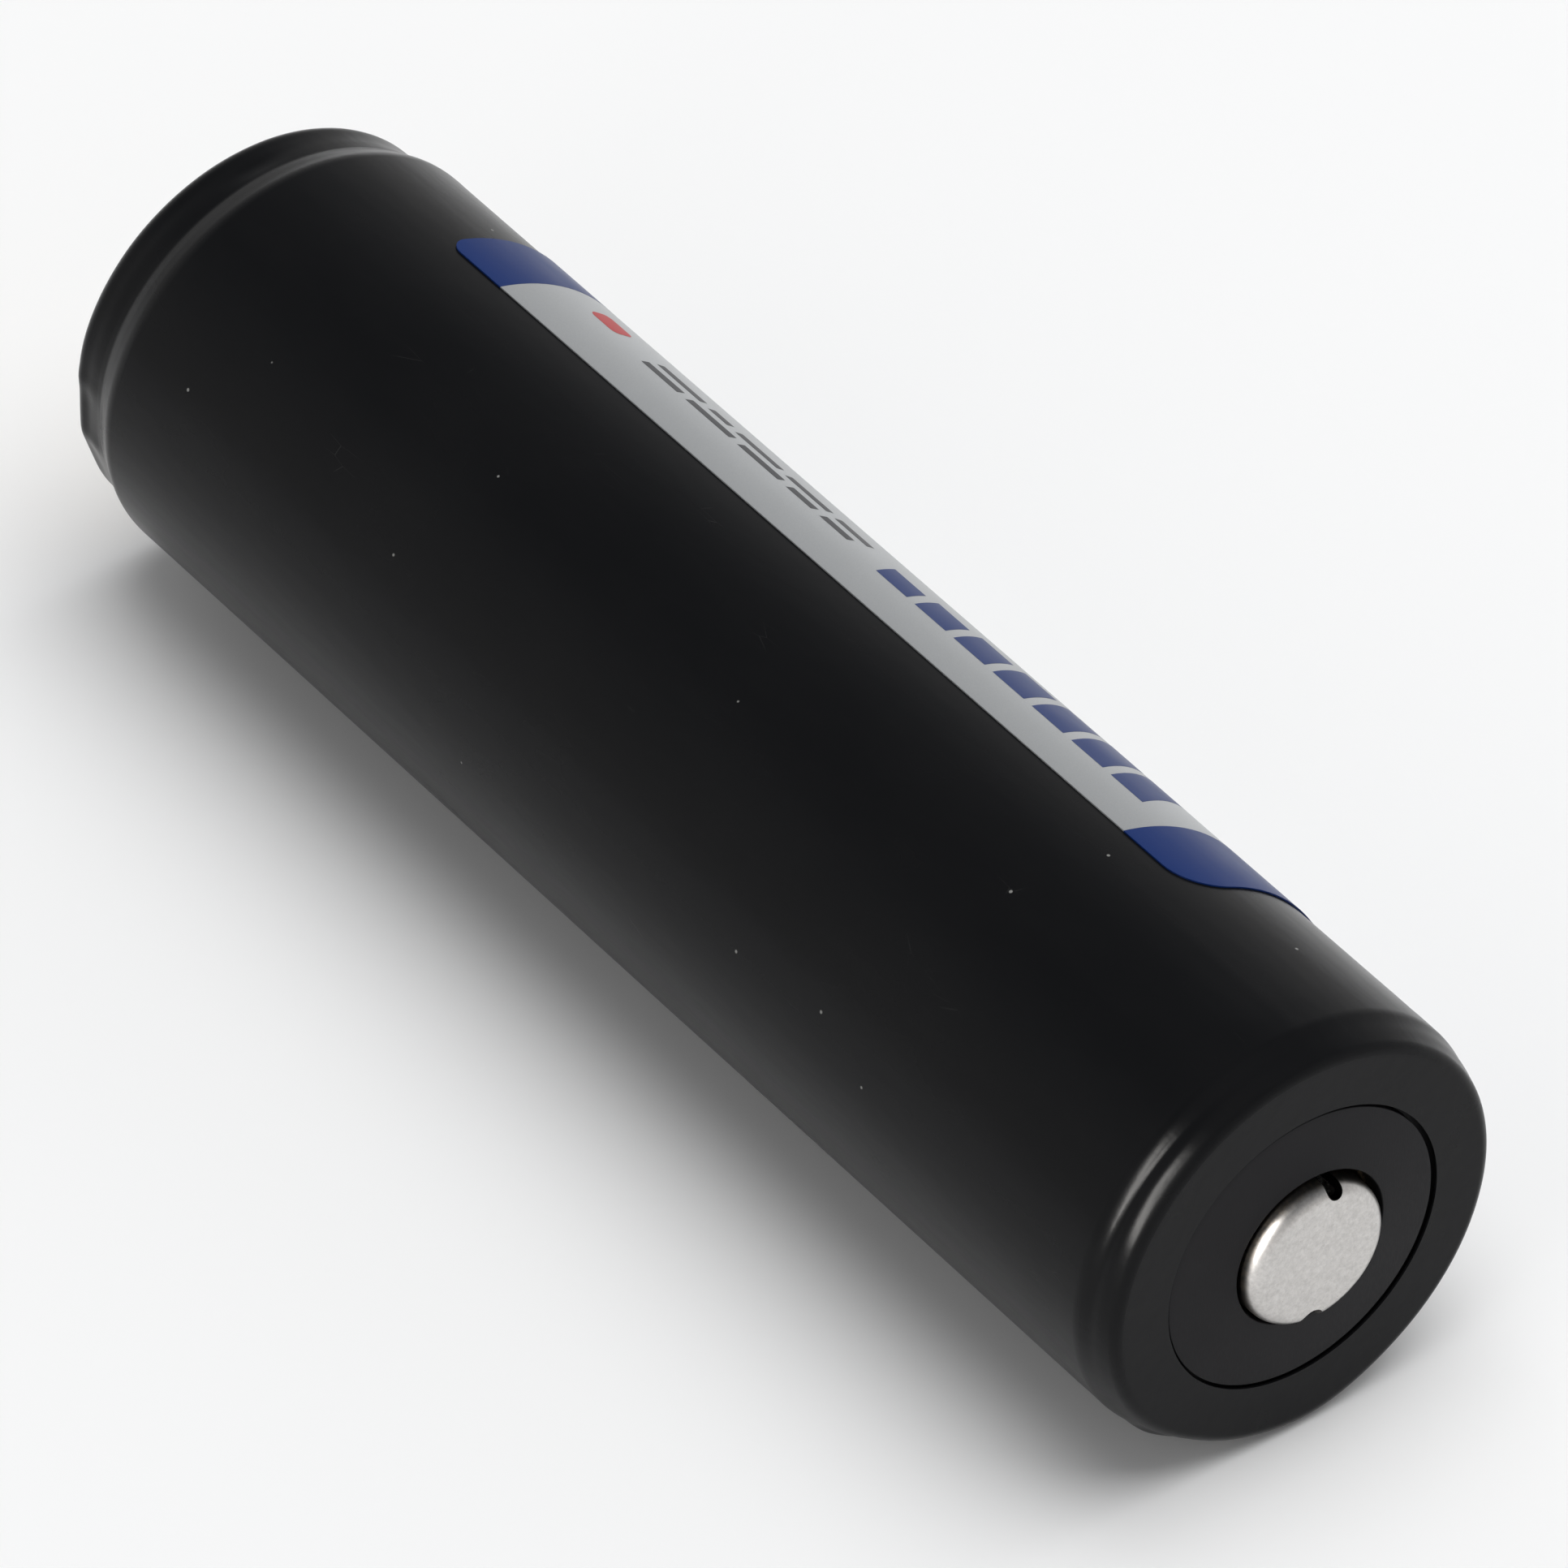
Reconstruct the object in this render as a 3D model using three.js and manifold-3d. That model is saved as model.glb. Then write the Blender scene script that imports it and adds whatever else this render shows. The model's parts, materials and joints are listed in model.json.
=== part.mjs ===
// A protected lithium-ion cell of the 18650 size, lying on its side.
//
// Millimetres. +X runs along the cell's axis, from the face of the negative contact (x = 0) to
// the positive button, and +Z is up. Round pieces are turned about the X axis from outlines of
// [x, radius] points. An angle round the axis is measured from +Z towards +Y.

import * as THREE from 'three';
import { mergeVertices } from 'three/addons/utils/BufferGeometryUtils.js';
import Module from 'manifold-3d';

const wasm = await Module();
wasm.setup();

// ---------------------------------------------------------------- driving dimensions

const CELL_RADIUS = 9.3;
const BUTTON_TOP_X = 68.7;
const SLEEVE_NEGATIVE_X = 0.1;
const SLEEVE_POSITIVE_X = 67.85;
const SLEEVE_WALL = 0.13;
const NEGATIVE_LIP_RADIUS = 6.6;
const POSITIVE_LIP_RADIUS = 6.3;

const CAN_RADIUS = 9.05;
const CAN_BOTTOM_X = 2.65;
const CAN_CRIMP_X = 66.6;
const CAN_WALL = 0.2;
const CAN_BOTTOM_CORNER = 1.1;
const CAN_CRIMP_CORNER = 0.9;

const BARE_SLEEVE_GAP = 0.02;
const BARE_SLEEVE_WALL = 0.08;

const STRIP_ANGLE = THREE.MathUtils.degToRad(210);
const STRIP_WIDTH = 3.0;
const STRIP_THICKNESS = 0.1;
const STRIP_LIFT = 0.16;          // from the can's surface to the strip's inner face

const LABEL_START_X = 10.25;
const LABEL_END_X = 57.65;
const LABEL_START_ANGLE = THREE.MathUtils.degToRad(15.8);
const LABEL_END_ANGLE = THREE.MathUtils.degToRad(165);
const LABEL_THICKNESS = 0.07;

const BOARD_X = 0.42;
const BOARD_THICKNESS = 0.8;
const BOARD_RADIUS = 8.3;
const CONTACT_RADIUS = 6.2;

const WINDING_START_X = 4.0;
const WINDING_END_X = 61.6;
const WINDING_CORE_RADIUS = 2.2;
const WINDING_TURNS = 5;
const WINDING_STEPS_PER_TURN = 22;

const BUTTON_RADIUS = 3.1;
const WASHER_HOLE_RADIUS = 3.32;

// Openings in the button's edge, each at an angle in degrees from +Z.
const BUTTON_SLOT = { angle: 14, width: 0.75, depth: 0.36, length: 1.3 };
const BUTTON_NOTCH = { angle: 186, width: 1.05, depth: 0.5, length: 0.6 };

// Every round piece has this many flat sides, turned so that one of them faces straight down.
// A radius is measured to the flats, so pieces that nest keep the same gap all the way round.
const SIDES = 32;
const HALF_SIDE = Math.PI / SIDES;

const FINISHES = {
  black_film: { color: 0x1a1a1b, roughness: 0.55, metalness: 0 },
  clear_film: { color: 0x3c4a66, roughness: 0.4, metalness: 0 },
  silver_film: { color: 0xa9abab, roughness: 0.45, metalness: 0.2 },
  fibre: { color: 0x2b2b2c, roughness: 0.85, metalness: 0 },
  nickel: { color: 0xc8c6c2, roughness: 0.3, metalness: 1 },
  steel: { color: 0xb2b3b5, roughness: 0.35, metalness: 1 },
  aluminium: { color: 0xc9cbcd, roughness: 0.4, metalness: 1 },
  copper_coat: { color: 0x2e2c2c, roughness: 0.8, metalness: 0.1 },
  oxide_coat: { color: 0x1f1f22, roughness: 0.85, metalness: 0.1 },
  white_film: { color: 0xe8e8e4, roughness: 0.6, metalness: 0 },
  amber_tape: { color: 0xb9822e, roughness: 0.4, metalness: 0 },
  gasket_plastic: { color: 0xd8d8d2, roughness: 0.5, metalness: 0 },
  polymer: { color: 0x4a4038, roughness: 0.6, metalness: 0.2 },
  board: { color: 0x1d5a36, roughness: 0.5, metalness: 0 },
  chip: { color: 0x222222, roughness: 0.5, metalness: 0 },
  ceramic: { color: 0x9a8668, roughness: 0.6, metalness: 0 },
  gold: { color: 0xd2ac5c, roughness: 0.25, metalness: 1 },
};

const cell = new THREE.Group();

function addPiece(name, geometry, finish) {
  const piece = new THREE.Mesh(geometry, new THREE.MeshStandardMaterial(FINISHES[finish]));
  piece.name = name;
  cell.add(piece);
}

// ---------------------------------------------------------------- outlines and solids

// Points of an arc about [centreX, centreRadius]; 0 degrees is along +X and 90 is outward.
function arc(centreX, centreRadius, radius, fromDegrees, toDegrees, steps) {
  return Array.from({ length: steps + 1 }, (_, i) => {
    const angle = THREE.MathUtils.degToRad(fromDegrees + (toDegrees - fromDegrees) * (i / steps));
    return [centreX + radius * Math.cos(angle), centreRadius + radius * Math.sin(angle)];
  });
}

// The same path moved sideways by a distance, outward when the path runs towards +X.
function offsetPath(path, distance) {
  const normals = path.slice(1).map(([x, r], i) => {
    const along = new THREE.Vector2(x - path[i][0], r - path[i][1]).normalize();
    return new THREE.Vector2(-along.y, along.x);
  });
  return path.map(([x, r], i) => {
    const before = normals[Math.max(i - 1, 0)];
    const after = normals[Math.min(i, normals.length - 1)];
    const mitre = before.clone().add(after).normalize();
    const reach = distance / mitre.dot(after);
    return [x + mitre.x * reach, r + mitre.y * reach];
  });
}

// The closed outline of a wall that follows a path, between two offsets from it.
function wallOutline(path, innerOffset, outerOffset) {
  const outer = offsetPath(path, outerOffset);
  const inner = offsetPath(path, innerOffset).reverse();
  return [...outer, ...inner, outer[0]];
}

function ringOutline(startX, endX, innerRadius, outerRadius) {
  return [
    [startX, innerRadius],
    [startX, outerRadius],
    [endX, outerRadius],
    [endX, innerRadius],
    [startX, innerRadius],
  ];
}

function turned(outline, sides = SIDES) {
  const cornerRadius = 1 / Math.cos(Math.PI / sides);
  const points = outline.map(([x, r]) => new THREE.Vector2(r * cornerRadius, x));
  return new THREE.LatheGeometry(points, sides, Math.PI / sides).rotateZ(-Math.PI / 2);
}

function ring(startX, endX, innerRadius, outerRadius, sides = SIDES) {
  return turned(ringOutline(startX, endX, innerRadius, outerRadius), sides);
}

function disc(startX, endX, radius, sides = SIDES) {
  return turned([[startX, 0], [startX, radius], [endX, radius], [endX, 0]], sides);
}

// A flat shape drawn in [y, z] and given a thickness along X.
function plate(shape, startX, endX) {
  const geometry = new THREE.ExtrudeGeometry(shape, { depth: endX - startX, bevelEnabled: false });
  const alongX = new THREE.Matrix4().makeBasis(
    new THREE.Vector3(0, 1, 0),
    new THREE.Vector3(0, 0, 1),
    new THREE.Vector3(1, 0, 0),
  );
  return geometry.applyMatrix4(alongX).translate(startX, 0, 0);
}

function shapeFrom(points) {
  return new THREE.Shape(points.map(([y, z]) => new THREE.Vector2(y, z)));
}

function block(centreX, centreY, centreZ, sizeX, sizeY, sizeZ) {
  return new THREE.BoxGeometry(sizeX, sizeY, sizeZ).translate(centreX, centreY, centreZ);
}

// A long slab that reaches outward from the axis at an angle, for keeping or cutting a strip.
function slabAt(angle, width) {
  const reach = 2 * CELL_RADIUS;
  return new THREE.BoxGeometry(3 * BUTTON_TOP_X, width, reach)
    .translate(0, 0, reach / 2)
    .rotateX(-angle);
}

// A flat metal strip bent along a path of [x, z] points, centred on y = 0.
function bentStrip(path, thickness, width) {
  const outline = wallOutline(path, 0, thickness);
  const shape = shapeFrom(outline.slice(0, -1));
  const geometry = new THREE.ExtrudeGeometry(shape, { depth: width, bevelEnabled: false });
  return geometry.rotateX(Math.PI / 2).translate(0, width / 2, 0);
}

function toSolid(geometry) {
  const bare = geometry.clone();
  bare.deleteAttribute('normal');
  bare.deleteAttribute('uv');
  const merged = mergeVertices(bare);
  const corners = Array.from(merged.index.array);
  const kept = [];
  for (let i = 0; i < corners.length; i += 3) {
    const [a, b, c] = corners.slice(i, i + 3);
    if (a !== b && b !== c && c !== a) kept.push(a, b, c);
  }
  return new wasm.Manifold(new wasm.Mesh({
    numProp: 3,
    vertProperties: merged.attributes.position.array,
    triVerts: Uint32Array.from(kept),
  }));
}

function toGeometry(solid) {
  const mesh = solid.getMesh();
  const geometry = new THREE.BufferGeometry();
  geometry.setAttribute('position', new THREE.BufferAttribute(mesh.vertProperties, 3));
  geometry.setIndex(new THREE.BufferAttribute(mesh.triVerts, 1));
  return geometry;
}

function keepInside(geometry, keeper) {
  return toGeometry(toSolid(geometry).intersect(toSolid(keeper)));
}

function cutBy(geometry, ...cutters) {
  return toGeometry(cutters.reduce((solid, cutter) => solid.subtract(toSolid(cutter)), toSolid(geometry)));
}

function join(geometry, other) {
  return toGeometry(toSolid(geometry).add(toSolid(other)));
}

// ---------------------------------------------------------------- the bare cell's can and cap

const CAN_BOTTOM_CENTRE = [CAN_BOTTOM_X + CAN_BOTTOM_CORNER, CAN_RADIUS - CAN_BOTTOM_CORNER];
const CAN_CRIMP_CENTRE = [CAN_CRIMP_X - CAN_CRIMP_CORNER, CAN_RADIUS - CAN_CRIMP_CORNER];

// Rounded corners that stand a distance off the can's own corners.
function bottomCorner(standoff, fromDegrees = 180) {
  const steps = Math.round((fromDegrees - 90) / 22.5);
  return arc(...CAN_BOTTOM_CENTRE, CAN_BOTTOM_CORNER + standoff, fromDegrees, 90, steps);
}

function crimpCorner(standoff) {
  return arc(...CAN_CRIMP_CENTRE, CAN_CRIMP_CORNER + standoff, 90, 0, 3);
}

// The groove pressed into the can under the cap stack.
function beadGroove() {
  const startX = 62.4;
  const endX = 63.7;
  const slopeLength = 0.4;
  const floorRadius = 8.2;
  return [
    [startX, CAN_RADIUS],
    [startX + slopeLength, floorRadius],
    [endX - slopeLength, floorRadius],
    [endX, CAN_RADIUS],
  ];
}

function can() {
  const crimpInnerRadius = 7.1;
  const outside = [
    [CAN_BOTTOM_X, 0],
    ...bottomCorner(0),
    ...beadGroove(),
    ...crimpCorner(0),
    [CAN_CRIMP_X, crimpInnerRadius],
  ];
  const inside = offsetPath(outside, -CAN_WALL).reverse();
  inside[inside.length - 1][1] = 0;
  return turned([...outside, ...inside]);
}

function bareCellSleeve() {
  const bottomLipRadius = 6.8;
  const crimpLipRadius = 6.9;
  const path = [
    [CAN_BOTTOM_X, bottomLipRadius],
    ...bottomCorner(0),
    ...crimpCorner(0),
    [CAN_CRIMP_X, crimpLipRadius],
  ];
  return turned(wallOutline(path, BARE_SLEEVE_GAP, BARE_SLEEVE_GAP + BARE_SLEEVE_WALL));
}

// Where each layer under the cap starts and ends along the axis.
const CAP_STACK = {
  cap: [65.48, 65.88],
  ptc: [65.12, 65.43],
  ventDisc: [64.82, 65.07],
  insulator: [64.35, 64.75],
  plate: [64.0, 64.28],
};
const STACK_RIM_RADIUS = 7.95;
const PTC_BORE_RADIUS = 5.0;
const VENT_RIM_BORE_RADIUS = 3.4;
const VENT_CENTRE_RADIUS = 3.33;
const CID_RING_RADII = [3.6, 6.6];
const CID_PLATE_RADIUS = 6.4;

// The gasket lines the can's mouth and folds over the stack's rim with it.
function gasket() {
  const clearance = 0.05;
  const lowerLipRadius = 6.9;
  const upperLipRadius = 7.2;
  const wallRadius = STACK_RIM_RADIUS + 0.08;
  const underX = CAP_STACK.plate[0] - clearance;
  const seatX = CAP_STACK.insulator[1];
  const lipUnderX = CAP_STACK.cap[1] + clearance;
  const corner = crimpCorner(-CAN_WALL - clearance);
  const outerRadius = corner[0][1];
  const lipTopX = corner.at(-1)[0];
  return turned([
    [underX, lowerLipRadius],
    [underX, outerRadius],
    ...corner,
    [lipTopX, upperLipRadius],
    [lipUnderX, upperLipRadius],
    [lipUnderX, wallRadius],
    [seatX, wallRadius],
    [seatX, lowerLipRadius],
    [underX, lowerLipRadius],
  ]);
}

function cellCap() {
  const [rimUnder, rimTop] = CAP_STACK.cap;
  const plateauTop = 66.73;
  const plateauUnder = 66.4;
  const plateauRadius = 4.15;
  const footRadius = 5.05;
  const wall = 0.3;
  const cap = turned([
    [plateauUnder, 0],
    [plateauUnder, plateauRadius - wall],
    [rimUnder, footRadius - wall],
    [rimUnder, STACK_RIM_RADIUS],
    [rimTop, STACK_RIM_RADIUS],
    [rimTop, footRadius],
    [plateauTop, plateauRadius],
    [plateauTop, 0],
  ]);
  const vent = { count: 3, x: 66.1, radius: 4.45, height: 0.36, width: 1.8, reach: 2 };
  const cutters = Array.from({ length: vent.count }, (_, i) =>
    block(vent.x, 0, vent.radius, vent.height, vent.width, vent.reach)
      .rotateX((i * 2 * Math.PI) / vent.count));
  return cutBy(cap, ...cutters);
}

function ventDiscCentre() {
  const [under, top] = CAP_STACK.ventDisc;
  const nubTip = CAP_STACK.plate[1] + 0.05;
  const nubRadius = 1.2;
  const slopeRadius = 2.0;
  const thickness = 0.15;
  const slopeStep = 0.1;
  return turned([
    [nubTip, 0],
    [nubTip, nubRadius],
    [under, slopeRadius],
    [under, VENT_CENTRE_RADIUS],
    [under + thickness, VENT_CENTRE_RADIUS],
    [under + thickness, slopeRadius - slopeStep],
    [nubTip + thickness, nubRadius - slopeStep],
    [nubTip + thickness, 0],
  ]);
}

function cidPlate() {
  const [under, top] = CAP_STACK.plate;
  const vent = { count: 4, radius: 0.6, pitchRadius: 4.2, sides: 8 };
  const cutters = Array.from({ length: vent.count }, (_, i) =>
    disc(under - 1, top + 1, vent.radius, vent.sides)
      .translate(0, 0, vent.pitchRadius)
      .rotateX((i * 2 * Math.PI) / vent.count));
  return cutBy(disc(under, top, CID_PLATE_RADIUS), ...cutters);
}

const ptcRing = ring(...CAP_STACK.ptc, PTC_BORE_RADIUS, STACK_RIM_RADIUS);
const ventDiscRim = ring(...CAP_STACK.ventDisc, VENT_RIM_BORE_RADIUS, STACK_RIM_RADIUS);
const cidInsulatorRing = ring(...CAP_STACK.insulator, ...CID_RING_RADII);

addPiece('can', can(), 'steel');
addPiece('bare_cell_sleeve', bareCellSleeve(), 'clear_film');
addPiece('gasket', gasket(), 'gasket_plastic');
addPiece('cell_cap', cellCap(), 'steel');
addPiece('ptc_ring', ptcRing, 'polymer');
addPiece('vent_disc_rim', ventDiscRim, 'aluminium');
addPiece('vent_disc_centre', ventDiscCentre(), 'aluminium');
addPiece('cid_insulator_ring', cidInsulatorRing, 'gasket_plastic');
addPiece('cid_plate', cidPlate(), 'aluminium');

// ---------------------------------------------------------------- the winding

// Four sheets share one pitch. Each entry is a sheet's thickness and how far it stops short of
// the separators at each end.
const SHEET_GAP = 0.035;
const SHEETS = [
  { name: 'cathode_sheet', thickness: 0.36, setback: 0.6, finish: 'oxide_coat' },
  { name: 'inner_separator', thickness: 0.1, setback: 0, finish: 'white_film' },
  { name: 'anode_sheet', thickness: 0.36, setback: 0.3, finish: 'copper_coat' },
  { name: 'outer_separator', thickness: 0.1, setback: 0, finish: 'white_film' },
];
const PITCH = SHEETS.reduce((sum, sheet) => sum + sheet.thickness + SHEET_GAP, 0);

function spiralPoints(startRadius) {
  const steps = WINDING_TURNS * WINDING_STEPS_PER_TURN;
  return Array.from({ length: steps + 1 }, (_, i) => {
    const turns = i / WINDING_STEPS_PER_TURN;
    const radius = startRadius + PITCH * turns;
    const angle = turns * 2 * Math.PI;
    return [radius * Math.cos(angle), radius * Math.sin(angle)];
  });
}

function woundSheet(startRadius, sheet) {
  const outer = spiralPoints(startRadius + sheet.thickness);
  const inner = spiralPoints(startRadius).reverse();
  return plate(
    shapeFrom([...outer, ...inner]),
    WINDING_START_X + sheet.setback,
    WINDING_END_X - sheet.setback,
  );
}

let sheetRadius = WINDING_CORE_RADIUS;
for (const sheet of SHEETS) {
  addPiece(sheet.name, woundSheet(sheetRadius, sheet), sheet.finish);
  sheetRadius += sheet.thickness + SHEET_GAP;
}

// Each round piece inside the can: where it starts and ends, and its inner and outer radius.
const WINDING_TAPE = [5.0, 60.6, 8.66, 8.72];
const CENTRE_PIN = [4.6, 61.0, 1.25, 1.55];
const UPPER_INSULATOR = [61.72, 61.97, 1.8, 8.4];
const LOWER_INSULATOR = [3.08, 3.28, 1.0, 7.3];
const CENTRE_PIN_SIDES = 16;

// Tabs run from the winding's ends to the cap stack and to the can's bottom.
const TAB_THICKNESS = 0.1;
const POSITIVE_TAB_WIDTH = 3;
const NEGATIVE_TAB_WIDTH = 4;
const POSITIVE_TAB_PATH = [[61.66, 4.2], [62.7, 4.2], [62.95, -2.2], [63.88, -2.2], [63.88, 1.5]];
const NEGATIVE_TAB_PATH = [[2.9, -1.5], [2.9, 7.75], [3.9, 7.75]];

// The insulator has a slot that the positive tab passes through.
function upperInsulator() {
  const [startX, , , outerRadius] = UPPER_INSULATOR;
  const tabRadius = POSITIVE_TAB_PATH[0][1];
  const slot = block(startX, 0, tabRadius, outerRadius, POSITIVE_TAB_WIDTH + 0.8, 0.8);
  return cutBy(ring(...UPPER_INSULATOR), slot);
}

const positiveTab = bentStrip(POSITIVE_TAB_PATH, TAB_THICKNESS, POSITIVE_TAB_WIDTH);
const negativeTab = bentStrip(NEGATIVE_TAB_PATH, -TAB_THICKNESS, NEGATIVE_TAB_WIDTH);

addPiece('winding_tape', ring(...WINDING_TAPE), 'amber_tape');
addPiece('centre_pin', ring(...CENTRE_PIN, CENTRE_PIN_SIDES), 'steel');
addPiece('upper_insulator', upperInsulator(), 'white_film');
addPiece('lower_insulator', ring(...LOWER_INSULATOR), 'white_film');
addPiece('positive_tab', positiveTab, 'aluminium');
addPiece('negative_tab', negativeTab, 'nickel');

// ---------------------------------------------------------------- the protection board

const SOLDER_GAP = 0.02;
const BOARD_INNER_X = BOARD_X + BOARD_THICKNESS;
const BOARD_SPACER_RING = [1.26, 2.22, 7.55, 8.25];
const BOARD_INSULATOR_DISC = [2.28, 2.45, 3.0, 8.2];
const BOARD_TAB_WIDTH = 3;
const BOARD_TAB_PATH = [[1.25, -5.6], [1.25, -3.9], [2.5, -2.1], [2.5, 1.6]];

// Package sizes as width, height and thickness, and each part's place on the board as [y, z].
const SWITCH_SIZE = [3.0, 4.4, 0.8];
const CONTROLLER_SIZE = [2.9, 1.6, 0.8];
const RESISTOR_SIZE = [1.6, 0.8, 0.45];
const CAPACITOR_SIZE = [1.6, 0.8, 0.7];
const BOARD_PARTS = [
  { name: 'switch_chip_1', place: [4.2, 1.0], size: SWITCH_SIZE, finish: 'chip' },
  { name: 'switch_chip_2', place: [-4.2, 1.0], size: SWITCH_SIZE, finish: 'chip' },
  { name: 'control_chip', place: [0, 4.3], size: CONTROLLER_SIZE, finish: 'chip' },
  { name: 'resistor_1', place: [3.4, -3.4], size: RESISTOR_SIZE, finish: 'chip' },
  { name: 'resistor_2', place: [-3.4, -3.4], size: RESISTOR_SIZE, finish: 'chip' },
  { name: 'capacitor', place: [3.4, -4.9], size: CAPACITOR_SIZE, finish: 'ceramic' },
];

function boardPart([centreY, centreZ], [width, height, thickness]) {
  const centreX = BOARD_INNER_X + SOLDER_GAP + thickness / 2;
  return block(centreX, centreY, centreZ, thickness, width, height);
}

// The spacer ring has a gap that the side strip passes through.
function boardSpacerRing() {
  return cutBy(ring(...BOARD_SPACER_RING), slabAt(STRIP_ANGLE, STRIP_WIDTH + 0.8));
}

const boardTab = bentStrip(BOARD_TAB_PATH, -TAB_THICKNESS, BOARD_TAB_WIDTH);

addPiece('negative_contact', disc(0, BOARD_X - SOLDER_GAP, CONTACT_RADIUS), 'gold');
addPiece('protection_board', disc(BOARD_X, BOARD_INNER_X, BOARD_RADIUS), 'board');
addPiece('board_spacer_ring', boardSpacerRing(), 'fibre');
addPiece('board_insulator_disc', ring(...BOARD_INSULATOR_DISC), 'fibre');
addPiece('board_tab', boardTab, 'nickel');
for (const { name, place, size, finish } of BOARD_PARTS) {
  addPiece(name, boardPart(place, size), finish);
}

// ---------------------------------------------------------------- the side strip and its tape

const STRIP_FOOT_X = 1.35;
const STRIP_FOOT_RADIUS = 8.44;
const STRIP_PAD_RADIUS = 7.3;
const STRIP_END_RADIUS = 3.2;
const STRIP_TURN_X = CAN_CRIMP_X + STRIP_LIFT;
const TAPE_END_RADIUS = 7.0;
const TAPE_THICKNESS = 0.03;
const TAPE_GAP = 0.015;

// The strip's inner face along the can's side, from a start near the board to the crimp.
function stripSidePath(startX) {
  const foot = [startX, STRIP_FOOT_RADIUS];
  return [foot, ...bottomCorner(STRIP_LIFT, 157.5), ...crimpCorner(STRIP_LIFT)];
}

// From its solder pad on the board, out along the can, to the cap.
function positiveStrip() {
  const path = [
    [STRIP_FOOT_X, STRIP_PAD_RADIUS],
    ...stripSidePath(STRIP_FOOT_X),
    [STRIP_TURN_X, STRIP_END_RADIUS],
  ];
  const wrap = turned(wallOutline(path, 0, STRIP_THICKNESS));
  return keepInside(wrap, slabAt(STRIP_ANGLE, STRIP_WIDTH));
}

function stripTape() {
  const path = [
    ...bottomCorner(STRIP_LIFT),
    ...crimpCorner(STRIP_LIFT),
    [STRIP_TURN_X, TAPE_END_RADIUS],
  ];
  const wrap = turned(wallOutline(path, -TAPE_GAP - TAPE_THICKNESS, -TAPE_GAP));
  return keepInside(wrap, slabAt(STRIP_ANGLE, STRIP_WIDTH + 0.4));
}

addPiece('positive_strip', positiveStrip(), 'nickel');
addPiece('strip_tape', stripTape(), 'amber_tape');

// ---------------------------------------------------------------- the outer sleeve and label

const SLEEVE_STANDOFF = CELL_RADIUS - CAN_RADIUS;
const BOARD_RING_RADIUS = 8.74;
const BOARD_RING_END_X = 2.0;
const DIP = [2.35, 8.6];
const SHOULDER_START_X = 66.15;
const SHOULDER_END = [67.45, 8.9];

// The sleeve's outer surface, from the lip round the contact, over the ring round the board and
// the dip before the can, along the can, and down the shoulder to the lip over the washer.
function sleevePath() {
  const corner = 0.83;
  const positiveCorner = SLEEVE_POSITIVE_X - SHOULDER_END[0];
  return [
    [SLEEVE_NEGATIVE_X, NEGATIVE_LIP_RADIUS],
    ...arc(SLEEVE_NEGATIVE_X + corner, BOARD_RING_RADIUS - corner, corner, 180, 90, 3),
    [BOARD_RING_END_X, BOARD_RING_RADIUS],
    DIP,
    ...bottomCorner(SLEEVE_STANDOFF, 146.25),
    [SHOULDER_START_X, CELL_RADIUS],
    SHOULDER_END,
    [SLEEVE_POSITIVE_X, SHOULDER_END[1] - positiveCorner],
    [SLEEVE_POSITIVE_X, POSITIVE_LIP_RADIUS],
  ];
}

// Over the side strip the sleeve bulges outward by the strip's thickness.
function shrinkSleeve() {
  const channelStartX = 1.6;
  const bulgeStartX = 1.8;
  const channelDepth = 0.3;
  const channelEndRadius = 8.0;
  const channelOffset = STRIP_THICKNESS + 0.03;
  const sleeve = turned(wallOutline(sleevePath(), -SLEEVE_WALL, 0));
  const bulge = keepInside(
    turned(wallOutline(stripSidePath(bulgeStartX), 0, channelOffset + SLEEVE_WALL)),
    slabAt(STRIP_ANGLE, STRIP_WIDTH + 1.4),
  );
  const channelPath = [...stripSidePath(channelStartX), [STRIP_TURN_X, channelEndRadius]];
  const channel = keepInside(
    turned(wallOutline(channelPath, -channelDepth, channelOffset)),
    slabAt(STRIP_ANGLE, STRIP_WIDTH + 0.6),
  );
  return cutBy(join(sleeve, bulge), channel);
}

// A sticker that follows the sleeve's flat sides between two angles.
function label() {
  const glueGap = 0.01;
  const innerFlat = CELL_RADIUS + glueGap;
  const outerFlat = innerFlat + LABEL_THICKNESS;
  const firstCorner = Math.ceil(LABEL_START_ANGLE / HALF_SIDE / 2 - 0.5);
  const lastCorner = Math.floor(LABEL_END_ANGLE / HALF_SIDE / 2 - 0.5);
  const angles = [LABEL_START_ANGLE];
  for (let corner = firstCorner; corner <= lastCorner; corner += 1) {
    angles.push((2 * corner + 1) * HALF_SIDE);
  }
  angles.push(LABEL_END_ANGLE);
  const pointAt = (flat, angle) => {
    const flatAngle = 2 * HALF_SIDE * Math.round(angle / (2 * HALF_SIDE));
    const radius = flat / Math.cos(angle - flatAngle);
    return [radius * Math.sin(angle), radius * Math.cos(angle)];
  };
  const outer = angles.map((angle) => pointAt(outerFlat, angle));
  const inner = angles.map((angle) => pointAt(innerFlat, angle)).reverse();
  return plate(shapeFrom([...outer, ...inner]), LABEL_START_X, LABEL_END_X);
}

addPiece('shrink_sleeve', shrinkSleeve(), 'black_film');
addPiece('label', label(), 'silver_film');

// ---------------------------------------------------------------- the positive end

const FLANGE_UNDER_X = 66.92;
const FLANGE_TOP_X = 67.12;
const FLANGE_RADIUS = 4.2;

// A box that opens the button's edge from its top face, as wide and deep as the opening.
function buttonCutter({ angle, width, depth, length }) {
  return block(BUTTON_TOP_X, 0, BUTTON_RADIUS, 2 * length, width, 2 * depth)
    .rotateX(-THREE.MathUtils.degToRad(angle));
}

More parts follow.
